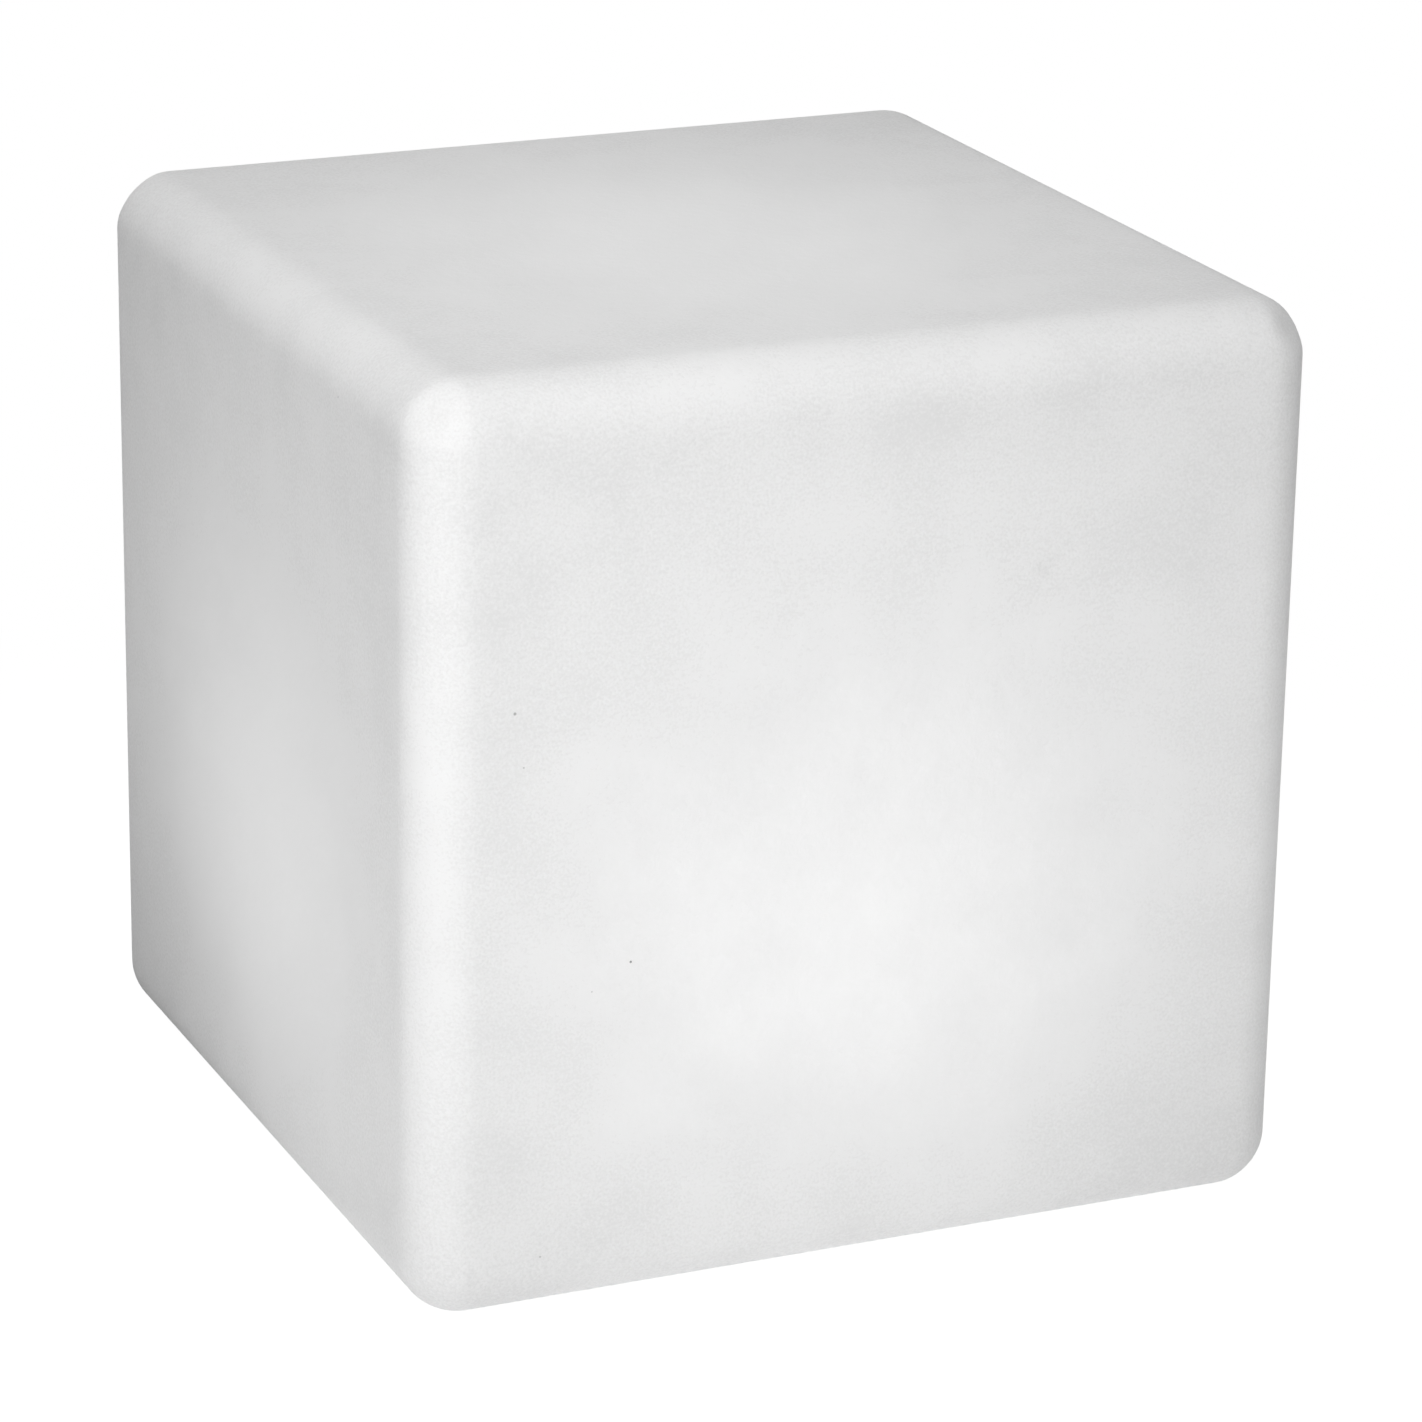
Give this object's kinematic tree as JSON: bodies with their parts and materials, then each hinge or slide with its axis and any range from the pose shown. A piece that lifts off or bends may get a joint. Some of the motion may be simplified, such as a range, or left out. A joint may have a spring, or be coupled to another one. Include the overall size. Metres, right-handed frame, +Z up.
{
  "type": "led cube light",
  "caption": "Hollow translucent light cube with rounded edges, rubber feet and a rechargeable light pod that twists out of its underside; also a stool or side table.",
  "frame": {"origin": "on the ground under the middle of the cube, level with the undersides of the four rubber feet", "axes": "+Z up out of the flat top, -Y out of the front face, +X to the right seen from the front; the grip bar of the light pod runs along X"},
  "size_m": [0.4, 0.4, 0.402],
  "materials": {
    "shell_polyethylene": "satin",
    "brass": "satin",
    "foot_rubber": "matte",
    "zinc_steel": "satin",
    "gasket_silicone": "matte",
    "white_abs": "satin",
    "cradle_abs": "matte",
    "cell_sleeve": "gloss",
    "nickel": "satin",
    "green_board": "gloss",
    "white_board": "gloss",
    "chip_black": "matte",
    "capacitor_can": "satin",
    "connector_nylon": "satin",
    "spreader_aluminium": "satin",
    "led_white": "gloss",
    "led_phosphor": "satin",
    "frosted_dome": "satin",
    "cover_rubber": "matte",
    "button_abs": "satin",
    "spring_steel": "satin",
    "switch_black": "satin",
    "switch_plunger": "satin",
    "lamp_green": "gloss",
    "clear_lens": "gloss",
    "red_lead": "satin",
    "black_lead": "satin",
    "grey_lead": "satin"
  },
  "bodies": {
    "cube": {"cube_shell": "shell_polyethylene", "ring_inserts": "brass", "foot_inserts": "brass", "foot_studs": "zinc_steel", "rubber_feet": "foot_rubber", "ring_gasket": "gasket_silicone", "mounting_ring": "white_abs", "ring_screws": "zinc_steel"},
    "light_pod": {"standoffs": "brass", "grip_screws": "zinc_steel", "clamp_screws": "zinc_steel", "dome_screws": "zinc_steel", "led_board_screws": "zinc_steel", "switch_board_screws": "zinc_steel", "pod_seal": "gasket_silicone", "dome_seal": "gasket_silicone", "pod_housing": "white_abs", "grip_bar": "white_abs", "battery_cradle": "cradle_abs", "battery_clamp": "cradle_abs", "battery_cells": "cell_sleeve", "battery_tabs": "nickel", "socket_pin": "nickel", "socket_nut": "nickel", "socket_terminals": "nickel", "control_board": "green_board", "protection_board": "green_board", "switch_board": "green_board", "led_board": "white_board", "control_chips": "chip_black", "protection_chips": "chip_black", "control_inductor": "chip_black", "remote_receiver": "chip_black", "charging_socket": "chip_black", "control_capacitors": "capacitor_can", "board_connectors": "connector_nylon", "heat_spreader": "spreader_aluminium", "led_packages": "led_white", "led_phosphors": "led_phosphor", "dome": "frosted_dome", "port_cover_anchor": "cover_rubber", "button_spring": "spring_steel", "tact_switch": "switch_black", "tact_plunger": "switch_plunger", "indicator_lamp": "lamp_green", "indicator_lens": "clear_lens", "battery_lead_positive": "red_lead", "socket_leads": "red_lead", "battery_lead_negative": "black_lead", "switch_leads": "black_lead", "led_leads": "grey_lead"},
    "power_button": {"power_button": "button_abs", "button_seal": "gasket_silicone"},
    "port_cover": {"port_cover": "cover_rubber"}
  },
  "joints": [
    {"name": "pod_twist", "type": "hinge", "parent": "cube", "child": "light_pod", "pos_m": [0, 0, 0.0267], "axis": [0, 0, -1], "range_deg": [0, 48]},
    {"name": "button_press", "type": "slide", "parent": "light_pod", "child": "power_button", "axis": [0, 0, 1], "range_m": [0, 0.0012], "stiffness_N_per_m": 300, "springref_m": -0.004, "deforming": ["button_spring"]},
    {"name": "port_cover_hinge", "type": "hinge", "parent": "light_pod", "child": "port_cover", "pos_m": [0.0112, 0.0355, 0.02235], "axis": [0, -1, 0], "range_deg": [0, 110]}
  ]
}
